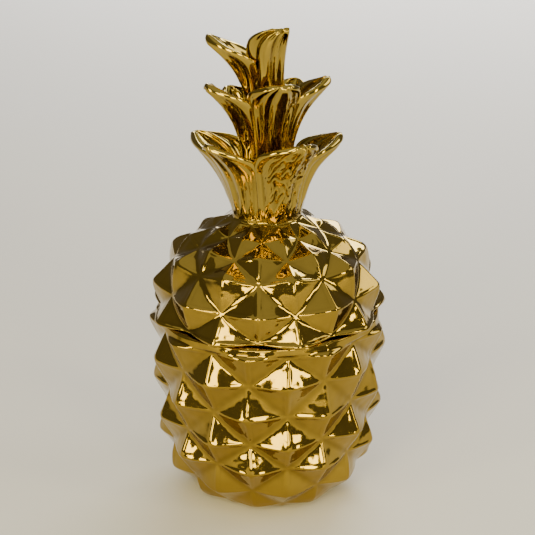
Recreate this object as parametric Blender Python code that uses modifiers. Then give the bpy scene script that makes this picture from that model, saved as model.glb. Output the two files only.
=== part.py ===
"""Lidded jar in the shape of a pineapple, slip-cast earthenware with a gold lustre glaze.

Metres, +Z up. The origin is the centre of the flat underside, and the front faces -Y.
Azimuths are measured from the front, positive towards +X.
"""
import math

import bmesh
import bpy
from mathutils import Matrix, Vector

MM = 0.001
TOUCH_GAP = 0.3 * MM
WELD = 0.004 * MM

# The scales: a lattice of four-sided points, staggered by half a scale from row to row
SCALES_ROUND = 9
SCALE_TURN = math.tau / SCALES_ROUND
COLUMNS_PER_SCALE = 4
STEPS_PER_ROW = 2
COLUMNS = SCALES_ROUND * COLUMNS_PER_SCALE

# Where a valley crossing of an even row lies, from the front
JAR_TURN = math.radians(10.0)
LID_TURN = math.radians(-5.3)

# The seam between jar and lid
RIM_HEIGHT = 83.6 * MM
LID_EDGE_HEIGHT = RIM_HEIGHT + TOUCH_GAP

# Rows of crossings, top to bottom: row number, height, radius in the valleys, rise of the scales
JAR_ROWS = [
    (-0.35, 83.6, 46.2, 4.4),
    (0.0, 79.2, 46.6, 5.0),
    (1.0, 66.4, 46.8, 5.2),
    (2.0, 51.8, 45.6, 5.2),
    (3.0, 38.6, 45.0, 5.2),
    (4.0, 26.6, 44.0, 4.8),
    (5.0, 14.8, 41.2, 4.0),
    (6.0, 5.0, 34.8, 1.8),
    (7.0, 0.0, 28.0, 0.0),
]
LID_ROWS = [
    (-6.0, 127.8, 14.6, 0.0),
    (-5.0, 125.0, 15.6, 0.0),
    (-4.0, 120.8, 23.0, 0.8),
    (-3.0, 115.2, 32.0, 2.2),
    (-2.0, 108.2, 39.4, 3.8),
    (-1.0, 96.2, 44.4, 5.2),
    (0.0, 85.0, 46.4, 5.0),
    (0.1, 83.9, 46.4, 5.0),
]

# The hollow inside: height and radius, down the wall
JAR_FLOOR = 5.0 * MM
JAR_HOLLOW = [(90.0, 42.4), (66.4, 42.6), (51.8, 41.4), (38.6, 40.8), (26.6, 39.6),
              (14.8, 36.2), (7.8, 28.0)]
LID_HOLLOW = [(117.8, 15.0), (113.2, 27.0), (105.4, 35.4), (95.4, 39.8), (86.0, 38.6),
              (70.0, 38.6)]
LID_HOLLOW_TOP = 119.0 * MM

# The ring under the lid that keeps it centred in the mouth
FLANGE_RADIUS = 41.6 * MM
FLANGE_DEPTH = 5.0 * MM

# The stem that carries the leaves: height and radius, top to bottom
STEM = [(191.0, 5.0), (186.0, 7.6), (176.0, 8.2), (162.0, 9.6), (150.0, 10.4), (138.0, 11.6), (129.2, 12.0)]
STEM_TIP = 192.5 * MM

# Leaves
LEAF_THICKNESS = 2.8 * MM
LEAF_ACROSS = 6
LEAF_ALONG = 8
LEAF_CROWDING = 1.4
LEAF_POINT = 1.2 * MM

# Each tier: foot height and radius, how much its leaves spread from the foot on, their bend and cup, then
# for each leaf its azimuth, tip height, tip radius, how far the tip leans sideways, the share of its
# length before it narrows, and how blunt it ends
TIERS = [
    {"name": "low", "foot": (122.0, 12.6), "spread": 0.35, "flare": 3.2, "cup": 0.72,
     "leaves": [(24.0, 163.6, 30.0, 0.0, 0.70, 2.6), (97.0, 159.6, 32.0, 0.0, 0.66, 1.7),
                (178.0, 157.0, 27.0, 0.0, 0.50, 1.7), (247.0, 158.2, 34.4, 0.0, 0.64, 1.9),
                (308.0, 161.5, 31.0, 0.0, 0.64, 1.7)]},
    {"name": "middle", "foot": (151.0, 9.8), "spread": 0.0, "flare": 2.1, "cup": 0.72,
     "leaves": [(12.0, 186.8, 23.0, 0.0, 0.70, 2.6), (88.0, 185.0, 26.3, 0.0, 0.66, 1.7),
                (148.0, 179.2, 25.0, 0.0, 0.70, 1.7), (228.0, 177.5, 23.0, 0.0, 0.70, 1.7),
                (298.0, 185.0, 27.4, 0.0, 0.62, 1.7)]},
    {"name": "top", "foot": (175.0, 7.8), "spread": 0.0, "flare": 2.0, "cup": 0.75,
     "leaves": [(0.0, 207.8, 13.0, 8.2, 0.50, 2.9), (182.0, 190.0, 14.0, 0.0, 0.30, 1.7),
                (276.0, 203.0, 24.4, 0.0, 0.50, 1.7)]},
]


def clear_scene():
    for leftover in list(bpy.data.objects):
        bpy.data.objects.remove(leftover, do_unlink=True)


def new_collection(name):
    collection = bpy.data.collections.new(name)
    bpy.context.scene.collection.children.link(collection)
    return collection


def gold_glaze():
    material = bpy.data.materials.new("gold_lustre_glaze")
    material.use_nodes = True
    shader = material.node_tree.nodes["Principled BSDF"]
    shader.inputs["Base Color"].default_value = (0.72, 0.46, 0.10, 1.0)
    shader.inputs["Metallic"].default_value = 1.0
    shader.inputs["Roughness"].default_value = 0.12
    return material


def add_object(name, mesh, collection):
    made = bpy.data.objects.new(name, mesh)
    collection.objects.link(made)
    return made


def apply_modifiers(made):
    bpy.context.view_layer.update()
    seen = made.evaluated_get(bpy.context.evaluated_depsgraph_get())
    settled = bpy.data.meshes.new_from_object(seen)
    made.modifiers.clear()
    made.data = settled


def turned(name, profile, steps, collection):
    """A profile of radius and height, top to bottom on its outer side, turned about Z."""
    mesh = bpy.data.meshes.new(name)
    edges = [(place, place + 1) for place in range(len(profile) - 1)]
    mesh.from_pydata([(radius, 0.0, height) for radius, height in profile], edges, [])
    made = add_object(name, mesh, collection)
    screw = made.modifiers.new("turn", "SCREW")
    screw.axis = "Z"
    screw.angle = math.tau
    screw.steps = steps
    screw.render_steps = steps
    screw.use_merge_vertices = True
    screw.merge_threshold = 0.00001
    apply_modifiers(made)
    return made


def smooth_between(before, start, end, after, share):
    """A curve through start and end that heads along its neighbours."""
    slope_in = (end - before) / 2
    slope_out = (after - start) / 2
    square, cube = share ** 2, share ** 3
    return ((2 * cube - 3 * square + 1) * start + (cube - 2 * square + share) * slope_in
            + (3 * square - 2 * cube) * end + (cube - square) * slope_out)


def scaled_profile(rows):
    """Points down the outside between the rows, each with its row number and the scales' rise."""
    points = []
    last = len(rows) - 1
    for place in range(last):
        near = [rows[max(place - 1, 0)], rows[place], rows[place + 1], rows[min(place + 2, last)]]
        whole_row = rows[place + 1][0] - rows[place][0] > 0.5
        steps = STEPS_PER_ROW if whole_row else 1
        for step in range(steps):
            share = step / steps
            row, rise = (near[1][k] + (near[2][k] - near[1][k]) * share for k in (0, 3))
            height, radius = (smooth_between(*[line[k] for line in near], share) for k in (1, 2))
            points.append((row, height * MM, radius * MM, rise * MM))
    row, height, radius, rise = rows[last]
    points.append((row, height * MM, radius * MM, rise * MM))
    return points


def scale_lift(azimuth, row, turn):
    """0 in the valleys of the lattice, 1 at the point of a scale."""
    across = (azimuth - turn) / SCALE_TURN
    rising = (across + row / 2) % 1.0
    falling = (across - row / 2) % 1.0
    return 2.0 * min(rising, 1.0 - rising, falling, 1.0 - falling)


def raise_scales(made, points, turn):
    """Pushes the turned outside out into scales, with the faces creased along the valleys.

    The shape first turns so that a column of its corners meets the valley crossings.
    """
    made.data.transform(Matrix.Rotation(turn, 4, "Z"))
    shape = bmesh.new()
    shape.from_mesh(made.data)
    lifts = {}
    for vertex in shape.verts:
        radius = math.hypot(vertex.co.x, vertex.co.y)
        for place, (row, height, valley, rise) in enumerate(points):
            if abs(vertex.co.z - height) + abs(radius - valley) > 0.02 * MM:
                continue
            above = points[max(place - 1, 0)]
            below = points[min(place + 1, len(points) - 1)]
            outward = Vector((above[1] - below[1], below[2] - above[2])).normalized()
            azimuth = math.atan2(vertex.co.x, -vertex.co.y)
            lift = scale_lift(azimuth, row, turn)
            lifts[vertex] = lift
            push = lift * rise
            pushed = radius + push * outward.x
            vertex.co = (vertex.co.x * pushed / radius, vertex.co.y * pushed / radius,
                         vertex.co.z + push * outward.y * (1.0 if 0 < place < len(points) - 1 else 0.0))
    for face in list(shape.faces):
        corners = list(face.verts)
        if len(corners) != 4 or any(corner not in lifts for corner in corners):
            continue
        costs = [lifts[corners[k]] + lifts[corners[k + 2]]
                 + abs(lifts[corners[k]] - lifts[corners[k + 2]]) / 8 for k in (0, 1)]
        start = 0 if costs[0] < costs[1] else 1
        bmesh.utils.face_split(face, corners[start], corners[start + 2])
    shape.to_mesh(made.data)
    shape.free()


def combine(made, other, operation):
    joint = made.modifiers.new(operation.lower(), "BOOLEAN")
    joint.operation = operation
    joint.object = other
    joint.solver = "EXACT"


def hollow_cutter(name, wall, floor_height, roof_height, collection):
    """A turned body of the hollow, from a list of height and radius down its wall."""
    profile = [(radius * MM, height * MM) for height, radius in wall]
    if roof_height is None:
        profile = [(0.0, wall[0][0] * MM)] + profile + [(0.0, floor_height)]
    else:
        profile = [(0.0, roof_height)] + profile + [(0.0, wall[-1][0] * MM)]
    cutter = turned(name, profile, COLUMNS, collection)
    cutter.hide_render = True
    cutter.display_type = "WIRE"
    return cutter


def leaf(name, tier, size, collection):
    """A cupped blade that leaves the stem upright, bends outward and ends in a point."""
    foot_height, foot_radius = (length * MM for length in tier["foot"])
    azimuth = math.radians(size[0])
    tip_height, tip_radius, lean = (length * MM for length in size[1:4])
    part, blunt = size[4:6]
    half_share = math.pi / len(tier["leaves"])

    def middle(along):
        outward = tier["spread"] * along + (1.0 - tier["spread"]) * along ** tier["flare"]
        return (foot_radius + (tip_radius - foot_radius) * outward,
                foot_height + (tip_height - foot_height) * along)

    def place(across, along):
        radius, height = middle(along)
        before, after = middle(max(along - 0.02, 0.0)), middle(min(along + 0.02, 1.0))
        heading = Vector((after[0] - before[0], after[1] - before[1])).normalized()
        bend = radius * (0.88 + (tier["cup"] - 0.88) * along)
        full = min(radius * math.sin(half_share) * 1.12, bend * 0.98)
        past = max(along - part, 0.0) / (1.0 - part)
        half_width = full + (LEAF_POINT - full) * past ** blunt
        turn = math.asin(across * half_width / bend)
        inward = bend * (1.0 - math.cos(turn))
        out = radius - inward * heading.y
        up = height + inward * heading.x
        side = bend * math.sin(turn) + lean * past ** blunt
        return Vector((out * math.sin(azimuth) + side * math.cos(azimuth),
                       -out * math.cos(azimuth) + side * math.sin(azimuth), up))

    shape = bmesh.new()
    bmesh.ops.create_grid(shape, x_segments=LEAF_ACROSS, y_segments=LEAF_ALONG, size=1.0)
    for vertex in shape.verts:
        vertex.co = place(vertex.co.x, 1.0 - ((1.0 - vertex.co.y) / 2.0) ** LEAF_CROWDING)
    bmesh.ops.recalc_face_normals(shape, faces=shape.faces)
    mesh = bpy.data.meshes.new(name)
    shape.to_mesh(mesh)
    shape.free()
    made = add_object(name, mesh, collection)
    thicken = made.modifiers.new("thickness", "SOLIDIFY")
    thicken.thickness = LEAF_THICKNESS
    thicken.offset = 0.0
    thicken.use_even_offset = True
    made.hide_render = True
    made.display_type = "WIRE"
    apply_modifiers(made)
    return made


def build_jar(parts, cutters, material):
    points = scaled_profile(JAR_ROWS)
    profile = [(0.0, RIM_HEIGHT)] + [(radius, height) for _, height, radius, _ in points] + [(0.0, 0.0)]
    jar = turned("jar", profile, COLUMNS, parts)
    raise_scales(jar, points, JAR_TURN)
    hollow = hollow_cutter("jar_hollow", JAR_HOLLOW, JAR_FLOOR, None, cutters)
    combine(jar, hollow, "DIFFERENCE")
    finish(jar, material)


def build_lid(parts, cutters, material):
    points = scaled_profile(LID_ROWS)
    stem = [(radius * MM, height * MM) for height, radius in STEM]
    dome = [(radius, height) for _, height, radius, _ in points]
    flange = [(FLANGE_RADIUS, LID_EDGE_HEIGHT), (FLANGE_RADIUS - 0.6 * MM, LID_EDGE_HEIGHT - FLANGE_DEPTH),
              (0.0, LID_EDGE_HEIGHT - FLANGE_DEPTH)]
    lid = turned("lid", [(0.0, STEM_TIP)] + stem + dome + flange, COLUMNS, parts)
    raise_scales(lid, points, LID_TURN)
    hollow = hollow_cutter("lid_hollow", LID_HOLLOW, None, LID_HOLLOW_TOP, cutters)
    combine(lid, hollow, "DIFFERENCE")
    for tier in TIERS:
        for place, size in enumerate(tier["leaves"], start=1):
            blade = leaf(f"leaf_{tier['name']}_{place}", tier, size, cutters)
            combine(lid, blade, "UNION")
    finish(lid, material)


def settle_faces(made):
    """Welds corners that all but meet, and drops pairs of faces that lie back to back."""
    shape = bmesh.new()
    shape.from_mesh(made.data)
    bmesh.ops.remove_doubles(shape, verts=shape.verts, dist=WELD)
    bmesh.ops.triangulate(shape, faces=shape.faces)
    by_corners = {}
    for face in shape.faces:
        by_corners.setdefault(frozenset(face.verts), []).append(face)
    paired = [face for faces in by_corners.values() if len(faces) > 1 for face in faces]
    bmesh.ops.delete(shape, geom=paired, context="FACES")
    shape.to_mesh(made.data)
    shape.free()


def finish(made, material):
    apply_modifiers(made)
    settle_faces(made)
    made.data.materials.clear()
    made.data.materials.append(material)
    made.data.shade_smooth()
    made.data.set_sharp_from_angle(angle=math.radians(20.0))


def main():
    clear_scene()
    parts = new_collection("pineapple_jar")
    cutters = new_collection("cutters")
    glaze = gold_glaze()
    build_jar(parts, cutters, glaze)
    build_lid(parts, cutters, glaze)


main()
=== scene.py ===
import math

import bmesh
import bpy
import numpy as np
from mathutils import Matrix, Vector, noise


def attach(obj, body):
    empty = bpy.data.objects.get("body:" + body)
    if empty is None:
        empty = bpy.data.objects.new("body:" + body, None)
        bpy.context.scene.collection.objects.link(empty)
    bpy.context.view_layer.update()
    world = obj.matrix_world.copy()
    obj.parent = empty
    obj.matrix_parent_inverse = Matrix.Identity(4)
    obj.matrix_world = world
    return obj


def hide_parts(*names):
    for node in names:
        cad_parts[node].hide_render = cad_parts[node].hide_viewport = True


mm = 0.001
fullTurn = 2 * math.pi

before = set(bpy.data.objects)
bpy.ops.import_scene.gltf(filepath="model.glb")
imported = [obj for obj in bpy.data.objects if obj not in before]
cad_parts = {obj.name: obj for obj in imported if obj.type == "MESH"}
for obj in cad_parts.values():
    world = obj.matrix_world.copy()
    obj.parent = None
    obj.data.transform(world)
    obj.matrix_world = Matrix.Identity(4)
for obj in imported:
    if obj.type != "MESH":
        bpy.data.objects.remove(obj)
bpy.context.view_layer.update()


def colour(code):
    # sRGB hex to the linear values that shaders take
    parts = [int(code[k:k + 2], 16) / 255 for k in (0, 2, 4)]
    return tuple(p / 12.92 if p <= 0.04045 else ((p + 0.055) / 1.055) ** 2.4 for p in parts) + (1.0,)


def addNode(tree, kind, settings=None, links=None):
    # one node, with its settings and what feeds its inputs
    node = tree.nodes.new(kind)
    for key, value in (settings or {}).items():
        if isinstance(key, int) or key in node.inputs:
            node.inputs[key].default_value = value
        else:
            setattr(node, key, value)
    for key, source in (links or {}).items():
        tree.links.new(source, node.inputs[key])
    return node


# Gold lustre: a metal film fired on over the glaze, thin enough that its colour drifts from olive to brown
# gold. It mirrors like metal, has painted shade that darkens it to brown in tight hollows, and shows the
# faint ripple of the glaze under it, which ran down the leaves and so is drawn out along them.
def goldLustre(name, film, deepFilm, waveHeight, stretch):
    look = {
        "driftSize": 14 * mm, "rippleSize": 3.2 * mm, "grainSize": 0.7 * mm,
        "flat": 0.5, "tight": 0.46,  # pointiness where the painted shade starts, and where it is darkest
        "paintedShadeColour": "4A3A16", "paintedHollowShade": 0.8,
        "smoothest": 0.03, "roughest": 0.12,
        "fineGrain": 0.3, "coarseGrain": 0.75,  # grain values that give the smoothest and the roughest film
        # colour and greatest strength of the painted shade laid into hollows
        "waveStrength": 0.5, "peelStrength": 0.3, "peelHeight": 0.003 * mm,
    }
    material = bpy.data.materials.new(name)
    material.use_nodes = True
    tree = material.node_tree
    shader = tree.nodes["Principled BSDF"]
    shader.inputs["Metallic"].default_value = 1.0
    place = addNode(tree, "ShaderNodeTexCoord").outputs["Object"]

    drift = addNode(tree, "ShaderNodeTexNoise", {"Scale": 1 / look["driftSize"], "Detail": 3.0},
                    {"Vector": place})
    clean = addNode(tree, "ShaderNodeMix", {"data_type": "RGBA", 6: colour(film), 7: colour(deepFilm)},
                    {0: drift.outputs[0]})
    pointiness = addNode(tree, "ShaderNodeNewGeometry").outputs["Pointiness"]
    # painted shade: mixes the film colour towards dark brown where the surface is hollow, darkening grooves
    # and creases
    hollow = addNode(tree, "ShaderNodeMapRange",
                     {"From Min": look["flat"], "From Max": look["tight"], "To Min": 0.0,
                      "To Max": look["paintedHollowShade"]}, {"Value": pointiness})
    paintedHollowShade = addNode(tree, "ShaderNodeMix", {"data_type": "RGBA", 7: colour(look["paintedShadeColour"])},
                    {0: hollow.outputs[0], 6: clean.outputs[2]})
    tree.links.new(paintedHollowShade.outputs[2], shader.inputs["Base Color"])

    grain = addNode(tree, "ShaderNodeTexNoise", {"Scale": 1 / look["grainSize"], "Detail": 2.0},
                    {"Vector": place})
    rough = addNode(tree, "ShaderNodeMapRange",
                    {"From Min": look["fineGrain"], "From Max": look["coarseGrain"],
                     "To Min": look["smoothest"], "To Max": look["roughest"]}, {"Value": grain.outputs[0]})
    tree.links.new(rough.outputs[0], shader.inputs["Roughness"])

    drawn = addNode(tree, "ShaderNodeMapping", {"Scale": (1.0, 1.0, stretch)}, {"Vector": place})
    waves = addNode(tree, "ShaderNodeTexNoise", {"Scale": 1 / look["rippleSize"], "Detail": 1.0},
                    {"Vector": drawn.outputs[0]})
    rippled = addNode(tree, "ShaderNodeBump", {"Strength": look["waveStrength"], "Distance": waveHeight},
                      {"Height": waves.outputs[0]})
    peeled = addNode(tree, "ShaderNodeBump",
                     {"Strength": look["peelStrength"], "Distance": look["peelHeight"]},
                     {"Height": grain.outputs[0], "Normal": rippled.outputs[0]})
    tree.links.new(peeled.outputs[0], shader.inputs["Normal"])
    return material


scaleGold = goldLustre("gold lustre pooled on scales", "A88D3A", "8F752C", 0.12 * mm, 1.0)
leafGold = goldLustre("gold lustre run thin on leaves", "B09844", "967F37", 0.06 * mm, 0.18)
print("materials made")


def smoothstep(low, high, value):
    # 0 up to low, 1 from high on, eased between
    share = np.clip((value - low) / (high - low), 0.0, 1.0)
    return share * share * (3 - 2 * share)


def throughRows(rows, place):
    # height, radius and rise at fractional rows, on a curve that passes through every named row
    table = np.array(rows, float)
    last = len(rows) - 1
    at = np.clip(np.searchsorted(table[:, 0], place, side="right") - 1, 0, last - 1)
    start, end = table[at], table[at + 1]
    before, after = table[np.maximum(at - 1, 0)], table[np.minimum(at + 2, last)]
    stretch = (end - start)[:, :1]
    share = (place[:, None] - start[:, :1]) / stretch
    slopeIn = (end - before) / (end - before)[:, :1] * stretch
    slopeOut = (after - start) / (after - start)[:, :1] * stretch
    square, cube = share ** 2, share ** 3
    curve = ((2 * cube - 3 * square + 1) * start + (cube - 2 * square + share) * slopeIn
             + (3 * square - 2 * cube) * end + (cube - square) * slopeOut)
    rise = start[:, 3] + (end[:, 3] - start[:, 3]) * share[:, 0]
    return curve[:, 1] * mm, curve[:, 2] * mm, rise * mm


# The scales stand in a lattice of leaning valleys, half a scale further round in each row
lattice = {
    "scalesRound": 9, "perScale": 44, "perRow": 22,
    "ridge": 14.0,       # how sharp the ridges between the facets are
    "valley": 0.06,      # share of a scale that the glaze fills along its edge
    "dish": 1.2,         # how hollow the facets run from their edge up to the point
    "point": 0.21,       # share of a scale that is worn round at its point
    "gain": 1.21,        # keeps the rounded points as tall as the cast ones
    "welt": 0.085, "weltWidth": 0.1,  # glaze stands a little proud along the ridges, so facets look dished
    "weltFade": 0.2,     # share of a scale over which the welts rise out of the valleys
    "peakDrift": 0.035, "heightDrift": 0.07,  # hand-carved model: no two scales are alike
    "driftRows": 24,     # more rows than the object has, so no scale repeats another
}
columns = lattice["scalesRound"] * lattice["perScale"]
across = np.arange(columns) / lattice["perScale"]


def scaleLift(row, drift):
    # 0 along the valleys, about 1 at the points; rows by columns
    rising, falling = across[None, :] + row[:, None] / 2, across[None, :] - row[:, None] / 2
    first, second = np.floor(rising).astype(int), np.floor(falling).astype(int)
    own = drift[(first - second) % len(drift), (first + second) % (2 * lattice["scalesRound"])]
    peakRise, peakFall = 0.5 + own[..., 0] * lattice["peakDrift"], 0.5 + own[..., 1] * lattice["peakDrift"]
    rising, falling = rising - first, falling - second
    sides = np.stack([rising / peakRise, (1 - rising) / (1 - peakRise),
                      falling / peakFall, (1 - falling) / (1 - peakFall)])
    nearest = -np.log(np.exp(-lattice["ridge"] * sides).sum(0)) / lattice["ridge"]
    sides.sort(axis=0)
    toRidge = (sides[1] - sides[0]) / lattice["weltWidth"]
    shown = np.clip(sides[0] / lattice["weltFade"], 0, 1)
    nearest = nearest + lattice["welt"] * np.exp(-toRidge ** 2) * shown
    dished = np.maximum(nearest, 0) ** (2 * lattice["dish"])
    filled = np.sqrt(dished + lattice["valley"] ** 2) - lattice["valley"]
    rounded = 1 - np.sqrt((1 - filled) ** 2 + lattice["point"] ** 2) + lattice["point"] ** 2 / 2
    return rounded * lattice["gain"] * (1 + own[..., 2] * lattice["heightDrift"])


def scaledSkin(rows, place, turn, seed):
    # rings of points down the outside, as radius, height and azimuth, rows by columns
    chance = np.random.default_rng(seed)
    drift = chance.uniform(-1, 1, (lattice["driftRows"], 2 * lattice["scalesRound"], 3))
    height, radius, rise = throughRows(rows, place)
    downR, downZ = np.gradient(radius), np.gradient(height)
    length = np.hypot(downR, downZ)
    outR, outZ = (-downZ / length)[:, None], (downR / length)[:, None]
    push = scaleLift(place, drift) * rise[:, None]
    azimuth = np.broadcast_to(turn + across[None, :] * fullTurn / lattice["scalesRound"], push.shape)
    return radius[:, None] + push * outR, height[:, None] + push * outZ, azimuth


def ringPlaces(spans):
    # fractional rows of all the rings; a span is its first row, its last row and its count of rings
    return np.unique(np.concatenate([np.linspace(*span) for span in spans]))


def ripple(radius, height, azimuth, amount):
    # slow unevenness of the cast and glazed wall, in and out
    wave = {"wide": 9 * mm, "fine": 3.5 * mm, "fineShare": 0.35}
    x, y = radius * np.sin(azimuth), -radius * np.cos(azimuth)
    moved = np.empty(radius.shape)
    for k in np.ndindex(radius.shape):
        point = Vector((x[k], y[k], height[k]))
        moved[k] = noise.noise(point / wave["wide"]) + wave["fineShare"] * noise.noise(point / wave["fine"])
    return radius + moved * amount


def roundedIn(radius, pastStart, roundSize):
    # draws the wall in on a quarter circle over the last stretch before an edge
    over = np.clip(pastStart / roundSize, 0.0, 1.0)
    return radius - roundSize * (1 - np.sqrt(1 - over ** 2))


def turnedRings(profile, azimuth):
    # plain rings for a list of radius and height in mm
    points = np.array(profile, float) * mm
    shape = (len(profile), columns)
    return (np.broadcast_to(points[:, :1], shape), np.broadcast_to(points[:, 1:], shape),
            np.broadcast_to(azimuth[None, :], shape))


def wallRings(points, azimuth, steps):
    # a smooth plain wall through a few points of radius and height in mm
    rows = [(k, height, radius, 0) for k, (radius, height) in enumerate(points)]
    place = np.linspace(0, len(points) - 1, steps)
    height, radius, _ = throughRows(rows, place)
    return turnedRings(np.stack([radius, height], axis=1) / mm, azimuth)


def finishPiece(name, corners, faces, weld, material):
    mesh = bpy.data.meshes.new(name)
    mesh.from_pydata(corners, [], faces)
    shape = bmesh.new()
    shape.from_mesh(mesh)
    if weld:
        bmesh.ops.remove_doubles(shape, verts=shape.verts, dist=weld)
    bmesh.ops.recalc_face_normals(shape, faces=shape.faces)
    shape.to_mesh(mesh)
    shape.free()
    mesh.shade_smooth()
    mesh.materials.append(material)
    piece = bpy.data.objects.new(name, mesh)
    bpy.context.scene.collection.objects.link(piece)
    return piece


def ringsToPiece(name, parts, firstEnd, lastEnd):
    # joins each ring to the next, and closes the first and the last ring on the axis at these heights
    radius, height, azimuth = (np.concatenate([part[k] for part in parts]) for k in range(3))
    points = np.stack([radius * np.sin(azimuth), -radius * np.cos(azimuth), height], axis=-1)
    count = len(radius)
    corners = points.reshape(-1, 3).tolist() + [[0, 0, firstEnd], [0, 0, lastEnd]]
    faces = []
    for ring in range(count - 1):
        here, below = ring * columns, (ring + 1) * columns
        faces += [(here + k, below + k, below + (k + 1) % columns, here + (k + 1) % columns)
                  for k in range(columns)]
    lastRing = (count - 1) * columns
    faces += [(k, (k + 1) % columns, count * columns) for k in range(columns)]
    faces += [(lastRing + (k + 1) % columns, lastRing + k, count * columns + 1) for k in range(columns)]
    return finishPiece(name, corners, faces, 0, scaleGold)


# The jar: scaled outside, smooth collar under the rim, hollow inside. A row is its number down from the
# seam, its height and radius, and how far its scales stand out, in mm; the other lists are radius and height
def makeJar():
    size = {
        "turn": math.radians(10.0), "seed": 11, "uneven": 0.3 * mm, "settle": 3.0 * mm,
        "rows": [(-0.35, 83.6, 46.2, 4.4), (0, 79.2, 46.6, 5.0), (1, 66.4, 46.8, 5.2), (2, 51.8, 45.6, 5.2),
                 (3, 38.6, 45.0, 5.2), (4, 26.6, 44.0, 4.8), (5, 14.8, 41.2, 4.0), (6, 5.0, 34.8, 1.8),
                 (7, 0.0, 28.0, 0.0)],
        "spans": [(-0.35, -0.25, 9), (-0.25, 7.0, 7 * lattice["perRow"] + 6)],
        "collar": (79.6 * mm, 80.8 * mm),  # heights between which the scales give way to the collar
        "collarProud": 2.3 * mm, "collarSmooth": 0.8,
        "rimTop": 83.6 * mm, "rimRound": 0.7 * mm,
        "rim": [(44.4, 83.6), (43.4, 83.6), (42.8, 83.4), (42.5, 83.0)],
        "hollow": [(42.4, 82.8), (42.6, 66.4), (41.4, 51.8), (40.8, 38.6), (39.6, 26.6), (36.2, 14.8),
                   (28.0, 7.8), (16.0, 5.2), (4.0, 5.0)],
        "hollowRings": 40, "hollowFloor": 5.0 * mm,
        "base": [(27.2, 0.0), (14.0, 0.0), (4.0, 0.0)],
    }
    place = ringPlaces(size["spans"])
    radius, height, azimuth = scaledSkin(size["rows"], place, size["turn"], size["seed"])
    plain = throughRows(size["rows"], place)[1][:, None]
    collar = size["collarSmooth"] * smoothstep(*size["collar"], height)
    radius = radius + (plain + size["collarProud"] - radius) * collar
    radius = roundedIn(radius, height - size["rimTop"] + size["rimRound"], size["rimRound"])
    radius = ripple(radius, height, azimuth, size["uneven"] * smoothstep(0.0, size["settle"], height))

    around = azimuth[0]
    inside = wallRings(size["hollow"], around, size["hollowRings"])
    rim = turnedRings(size["rim"], around)
    parts = [tuple(ring[::-1] for ring in inside), tuple(ring[::-1] for ring in rim),
             (radius, height, azimuth), turnedRings(size["base"], around)]
    piece = ringsToPiece("jarBody", parts, size["hollowFloor"], 0.0)
    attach(piece, "root")
    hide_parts("jar")


makeJar()
print("jar made")


# The lid: scaled dome with a rolled edge that arches between the scales, locating ring, neck and stem.
# Rows count up from the seam as minus numbers, and the lists read as they do for the jar
def makeLid():
    size = {
        "turn": math.radians(-5.3), "seed": 23, "uneven": 0.3 * mm, "settle": 2.0 * mm,
        "rows": [(-6, 127.8, 14.6, 0.0), (-5, 125.0, 15.6, 0.6), (-4, 120.8, 22.6, 1.6),
                 (-3, 115.2, 31.6, 2.8), (-2, 108.2, 39.4, 3.8), (-1, 96.2, 44.4, 5.2), (0, 85.0, 46.4, 5.0),
                 (0.1, 83.9, 46.4, 5.0)],
        "spans": [(-6.0, -0.06, 6 * lattice["perRow"]), (-0.06, 0.1, 12)],
        "edge": 83.9 * mm, "edgeRound": 0.6 * mm,
        "arch": 0.6 * mm, "archNarrow": 1.4, "archTop": 92.0 * mm,
        "roll": 0.5 * mm, "rollUp": 1.0 * mm, "rollWidth": 0.8 * mm,
        # the small scales by the neck are crumpled between these heights
        "crumple": 0.2 * mm, "crumpleStart": (108 * mm, 120 * mm), "crumpleEnd": (125 * mm, 127 * mm),
        "stem": [(0.5, 194.0), (2.0, 192.2), (4.2, 188.6), (6.4, 183.6), (8.0, 176.0), (9.6, 162.0),
                 (10.4, 150.0), (11.6, 138.0), (12.0, 130.4)],
        "stemRings": 30, "stemTop": 194.2 * mm,
        "neck": [(12.4, 129.4), (13.2, 128.7), (14.0, 128.3), (14.5, 128.05)],
        "ring": [(43.0, 84.7), (42.0, 84.6), (41.7, 84.2), (41.6, 83.4), (41.1, 79.7), (40.8, 79.1),
                 (40.2, 78.9), (39.4, 78.9), (38.9, 79.1), (38.6, 79.7)],
        "hollow": [(38.6, 82.0), (39.8, 95.4), (35.4, 105.4), (27.0, 113.2), (15.0, 117.8), (3.0, 119.0)],
        "hollowRings": 26, "hollowTop": 119.05 * mm,
    }
    place = ringPlaces(size["spans"])
    radius, height, azimuth = scaledSkin(size["rows"], place, size["turn"], size["seed"])
    between = 0.5 + 0.5 * np.cos((azimuth - size["turn"]) * lattice["scalesRound"])
    arch = between ** size["archNarrow"]
    height = height + size["arch"] * arch * (1 - smoothstep(size["edge"], size["archTop"], height))
    lowest = size["edge"] + size["arch"] * arch
    radius = radius + size["roll"] * np.exp(-((height - lowest - size["rollUp"]) / size["rollWidth"]) ** 2)
    radius = roundedIn(radius, lowest + size["edgeRound"] - height, size["edgeRound"])
    crumpled = smoothstep(*size["crumpleStart"], height) * (1 - smoothstep(*size["crumpleEnd"], height))
    uneven = size["uneven"] + size["crumple"] * crumpled
    radius = ripple(radius, height, azimuth, uneven * smoothstep(0.0, size["settle"], height - lowest))

    around = azimuth[0]
    parts = [wallRings(size["stem"], around, size["stemRings"]), turnedRings(size["neck"], around),
             (radius, height, azimuth), turnedRings(size["ring"], around),
             wallRings(size["hollow"], around, size["hollowRings"])]
    piece = ringsToPiece("lidDome", parts, size["stemTop"], size["hollowTop"])
    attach(piece, "root")
    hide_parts("lid")


makeLid()
print("lid made")


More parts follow.
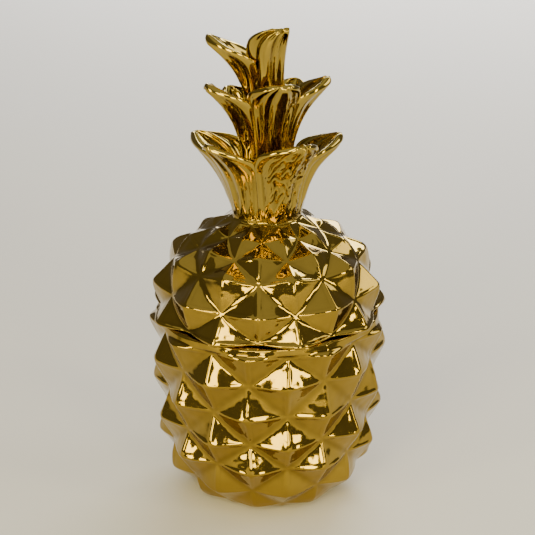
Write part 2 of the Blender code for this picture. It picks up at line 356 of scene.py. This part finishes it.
# Crown: three tiers of cupped leaves, cast in one with the lid. All lengths in it are mm. A leaf leans to
# one side by lean, keeps its full width over fullPart of its length, and then narrows to half a tip's
# width, later the higher blunt is. It stands proud of its neighbours, and has fine loops drawn on it
crown = {
    "thickness": 2.8, "acrossSteps": 128, "alongSteps": 72,
    "tipCrowding": 1.6,      # above 1, the points lie closer towards the tip
    "footCup": 0.88,         # radius that a leaf is bent to at its foot, as a share of its distance out
    "overlap": 1.12, "wrap": 0.98,  # how far neighbours overlap, and the most that a leaf wraps round
    "proudBy": 0.3,          # share of the length after which a leaf stands fully proud
    "tipRound": 0.045, "footRound": 0.03,  # shares of the length over which the thickness rounds off
    "rimFull": 6,            # how full the thickness stays up to the rounded rim
    "bead": 0.5, "beadIn": 1.0, "beadWidth": 1.0, "backBead": 0.5,  # rolled rim, lower on the inner face
    "folds": 0.75, "foldBase": 0.6, "foldProud": 0.25,  # a leaf that stands proud is folded deeper
    "foldCount": 6, "foldStart": (0.1, 0.4),
    "foldLow": (1.2, 0, 0.03, 0.3), "foldHigh": (6.0, 1, 0.16, 0.9),  # waves across, phase, sway, pace
    "loopWidth": 1.7, "loopLength": 5.0, "loopLine": 0.11,
    "loopStart": (0.15, 0.35), "loopSide": (-0.85, -0.45),  # where the loops fade in, along and across
    "rimClear": (1.2, 3.0), "backRelief": 0.9,  # folds and loops keep off the rim
    "columns": ("azimuth", "tipHeight", "tipRadius", "lean", "fullPart", "blunt", "halfTip", "proud",
                "loops"),
    "tiers": [
        {"name": "lowLeaves", "foot": (122.0, 12.6), "spread": 0.35, "flare": 3.2, "cup": 0.72,
         "leaves": [(24.0, 163.0, 30.0, 2.4, 0.60, 2.4, 3.4, 1.5, 0.45),
                    (97.0, 159.6, 32.0, 0.0, 0.66, 1.7, 1.2, 0.0, 0.04),
                    (178.0, 157.0, 27.0, 0.0, 0.50, 1.7, 1.2, 0.6, 0.08),
                    (247.0, 158.2, 34.4, 0.0, 0.64, 1.9, 1.2, 0.0, 0.04),
                    (308.0, 161.5, 31.0, 0.0, 0.64, 1.7, 1.2, 0.2, 0.03)]},
        {"name": "middleLeaves", "foot": (151.0, 9.8), "spread": 0.0, "flare": 2.1, "cup": 0.72,
         "leaves": [(12.0, 186.6, 23.0, 1.6, 0.62, 2.5, 3.8, 0.8, 0.08),
                    (88.0, 185.0, 26.3, 0.0, 0.66, 1.7, 1.2, 0.0, 0.03),
                    (148.0, 179.2, 25.0, 0.0, 0.70, 1.7, 1.2, 0.3, 0.06),
                    (228.0, 177.5, 23.0, 0.0, 0.70, 1.7, 1.2, 0.0, 0.06),
                    (298.0, 185.0, 27.4, 0.0, 0.62, 1.7, 1.2, 0.1, 0.05)]},
        {"name": "topLeaves", "foot": (175.0, 7.8), "spread": 0.0, "flare": 2.0, "cup": 0.75,
         "leaves": [(0.0, 207.8, 13.0, 6.0, 0.50, 3.6, 3.4, 0.6, 0.03),
                    (182.0, 190.0, 14.0, 0.0, 0.30, 1.7, 1.2, 0.0, 0.03),
                    (276.0, 203.0, 24.4, 0.0, 0.50, 1.7, 1.2, 0.0, 0.03)]},
    ],
}


def leafMiddle(tier, leaf, u, v):
    # half the width of the leaf in mm, its middle surface, and which way that faces; u across, v along
    azimuth = math.radians(leaf["azimuth"])
    footHeight, footRadius = tier["foot"]
    spread, flare = tier["spread"], tier["flare"]
    reach, climb = leaf["tipRadius"] - footRadius, leaf["tipHeight"] - footHeight
    radius = footRadius + reach * (spread * v + (1 - spread) * v ** flare)
    height = footHeight + climb * v
    headR = reach * (spread + (1 - spread) * flare * np.maximum(v, 1e-4) ** (flare - 1))
    headZ = np.full_like(v, climb)
    length = np.hypot(headR, headZ)
    headR, headZ = headR / length, headZ / length
    bend = radius * (crown["footCup"] + (tier["cup"] - crown["footCup"]) * v)
    share = radius * math.sin(math.pi / len(tier["leaves"])) * crown["overlap"]
    full = np.minimum(share, bend * crown["wrap"])
    past = np.clip((v - leaf["fullPart"]) / (1 - leaf["fullPart"]), 0, 1) ** leaf["blunt"]
    halfWidth = full + (leaf["halfTip"] - full) * past
    turn = np.arcsin(np.clip(u * halfWidth / bend, -1, 1))
    inward = bend * (1 - np.cos(turn))
    out = radius - inward * headZ + leaf["proud"] * smoothstep(0.0, crown["proudBy"], v)
    up = height + inward * headR
    sideways = bend * np.sin(turn) + leaf["lean"] * past
    middle = np.stack([out * math.sin(azimuth) + sideways * math.cos(azimuth),
                       -out * math.cos(azimuth) + sideways * math.sin(azimuth), up], axis=-1) * mm
    facing = np.cross(np.gradient(middle, axis=1), np.gradient(middle, axis=0))
    facing /= np.maximum(np.linalg.norm(facing, axis=-1, keepdims=True), 1e-12)
    outwards = np.array([math.sin(azimuth), -math.cos(azimuth), 0.0])
    if (facing[:, crown["acrossSteps"] // 2] @ outwards).sum() < 0:
        facing = -facing
    return halfWidth, middle, facing


def lengthwiseFolds(u, v, proud, chance):
    # soft folds along the leaf, a sum of slow waves that sway a little
    folds = np.zeros_like(u)
    for _ in range(crown["foldCount"]):
        count, phase, sway, pace = chance.uniform(crown["foldLow"], crown["foldHigh"])
        swayed = count * u / 2 + phase + sway * np.sin(fullTurn * (pace * v + phase))
        folds += np.sin(fullTurn * swayed) / (1 + count / 3)
    size = crown["folds"] * mm * (crown["foldBase"] + crown["foldProud"] * proud)
    return folds * size * smoothstep(*crown["foldStart"], v)


def fineLoops(u, v, sideways, lengthwise, seed):
    # thin raised loops drawn along a leaf, about 2 mm wide and 6 mm long, clear of its foot and one side
    field = np.empty(sideways.shape)
    for k in np.ndindex(sideways.shape):
        place = (sideways[k] / crown["loopWidth"], lengthwise[k] / crown["loopLength"], seed)
        field[k] = noise.noise(Vector(place))
    drawn = smoothstep(*crown["loopStart"], v) * smoothstep(*crown["loopSide"], u)
    return np.exp(-(field / crown["loopLine"]) ** 2) * drawn


def leafShell(tier, leaf, chance):
    # both faces of one leaf as grids of points, which meet along the rounded rim
    along = 1 - (1 - np.linspace(0, 1, crown["alongSteps"] + 1)) ** crown["tipCrowding"]
    side = np.sin(np.linspace(-math.pi / 2, math.pi / 2, crown["acrossSteps"] + 1))
    u, v = np.meshgrid(side, along)
    halfWidth, middle, facing = leafMiddle(tier, leaf, u, v)

    toTip = np.clip((v - 1 + crown["tipRound"]) / crown["tipRound"], 0, 1)
    toFoot = np.clip((crown["footRound"] - v) / crown["footRound"], 0, 1)
    rim = np.sqrt(np.clip(1 - np.abs(u) ** crown["rimFull"], 0, 1))
    body = rim * np.sqrt(1 - toTip ** 2) * np.sqrt(1 - toFoot ** 2)
    half = np.minimum(crown["thickness"] / 2, halfWidth) * mm * body
    inset = (1 - np.abs(u)) * halfWidth
    bead = crown["bead"] * mm * np.exp(-((inset - crown["beadIn"]) / crown["beadWidth"]) ** 2) * body
    folds = lengthwiseFolds(u, v, leaf["proud"], chance)
    climb = leaf["tipHeight"] - tier["foot"][0]
    loops = fineLoops(u, v, u * halfWidth, v * climb, chance.uniform(0, 100)) * leaf["loops"] * mm
    relief = (folds + loops) * smoothstep(*crown["rimClear"], inset) * body
    outer = middle + facing * (half + bead + relief)[..., None]
    inner = middle - facing * (half + crown["backBead"] * bead + crown["backRelief"] * relief)[..., None]
    return outer, inner


def makeCrown():
    chance = np.random.default_rng(5)
    weld = 0.0005 * mm  # joins the two faces of a leaf where they meet
    wide = crown["acrossSteps"] + 1
    for tier in crown["tiers"]:
        corners, faces = [], []
        for values in tier["leaves"]:
            leaf = dict(zip(crown["columns"], values))
            for grid in leafShell(tier, leaf, chance):
                start = len(corners)
                corners += grid.reshape(-1, 3).tolist()
                faces += [(start + row * wide + k, start + row * wide + k + 1,
                           start + (row + 1) * wide + k + 1, start + (row + 1) * wide + k)
                          for row in range(crown["alongSteps"]) for k in range(crown["acrossSteps"])]
        piece = finishPiece(tier["name"], corners, faces, weld, leafGold)
        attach(piece, "root")


makeCrown()
print("crown made")


# Stage: a plain pale table, soft boxes and a dim room. The table top is rolled emulsion paint, so it is
# matt and lies as one even pale field in the gold
def makeStage():
    room = {"reach": 4.0, "paint": "DEDBD6", "paintRough": 0.7, "air": "C9C2B4", "airBright": 0.34}
    pale = bpy.data.materials.new("matt pale paint")
    pale.use_nodes = True
    shader = pale.node_tree.nodes["Principled BSDF"]
    shader.inputs["Base Color"].default_value = colour(room["paint"])
    shader.inputs["Roughness"].default_value = room["paintRough"]
    floorMesh = bpy.data.meshes.new("floor")
    reach = room["reach"]
    corners = [(-reach, -reach, 0), (reach, -reach, 0), (reach, reach, 0), (-reach, reach, 0)]
    floorMesh.from_pydata(corners, [], [(0, 1, 2, 3)])
    floorMesh.materials.append(pale)
    floor = bpy.data.objects.new("floor", floorMesh)
    bpy.context.scene.collection.objects.link(floor)

    middle = (0, 0, 0.1)  # half way up the object, where most of the boxes point
    white = {"aim": middle, "tint": "FFFFFF"}
    warm = {"aim": middle, "tint": "FFF0B0", "bright": 14.0}
    boxes = [  # soft boxes: where they hang, how large, where they point, and how bright their cloth is
        {"name": "main", "place": (1.3, 0.25, 0.85), "size": (0.6, 0.6), "aim": middle, "bright": 4.0,
         "tint": "FFFAF0"},
        {**white, "name": "wash", "place": (0.2, 1.6, 0.9), "size": (1.8, 0.5), "aim": (0, 1.4, 0),
         "bright": 12.0},
        {**white, "name": "ceiling", "place": (0.0, -0.4, 1.9), "size": (2.8, 3.4), "bright": 0.5},
        {**warm, "name": "left", "place": (-1.05, -0.75, 0.45), "size": (0.2, 0.6)},
        {**warm, "name": "leftFront", "place": (-0.62, -1.15, 0.45), "size": (0.36, 0.5)},
        {**warm, "name": "front", "place": (0.1, -1.35, 0.42), "size": (0.36, 0.36)},
        {**warm, "name": "frontRight", "place": (0.62, -1.15, 0.5), "size": (0.22, 0.5)},
        {**warm, "name": "strip", "place": (1.1, -0.6, 0.5), "size": (0.14, 0.7)},
        {**warm, "name": "high", "place": (-0.25, -1.05, 0.95), "size": (0.45, 0.2)},
    ]
    for box in boxes:
        lamp = bpy.data.lights.new(box["name"], "AREA")
        lamp.shape = "RECTANGLE"
        lamp.size, lamp.size_y = box["size"]
        lamp.energy = box["bright"] * math.pi * box["size"][0] * box["size"][1]
        lamp.color = colour(box["tint"])[:3]
        light = bpy.data.objects.new(box["name"], lamp)
        light.location = box["place"]
        light.rotation_euler = (Vector(box["aim"]) - light.location).to_track_quat("-Z", "Y").to_euler()
        bpy.context.scene.collection.objects.link(light)

    world = bpy.data.worlds.new("room")
    world.use_nodes = True
    world.node_tree.nodes["Background"].inputs["Color"].default_value = colour(room["air"])
    world.node_tree.nodes["Background"].inputs["Strength"].default_value = room["airBright"]
    bpy.context.scene.world = world


makeStage()
print("stage made")


# The photo's own camera: 0.6 m in front, a third of a metre up, looking down 20.9 degrees
def makeCamera():
    view = {"back": 0.6, "up": 0.330004, "down": 0.3644, "roll": -0.0069, "lens": 100.18, "sensor": 36.0,
            "nearest": 0.01}
    lens = bpy.data.cameras.new("camera")
    lens.sensor_width = view["sensor"]
    lens.lens = view["lens"]
    lens.clip_start = view["nearest"]
    camera = bpy.data.objects.new("camera", lens)
    camera.matrix_world = (Matrix.Translation((0, -view["back"], view["up"]))
                           @ Matrix.Rotation(math.pi / 2 - view["down"], 4, "X")
                           @ Matrix.Rotation(view["roll"], 4, "Z"))
    bpy.context.scene.collection.objects.link(camera)
    bpy.context.scene.camera = camera


makeCamera()
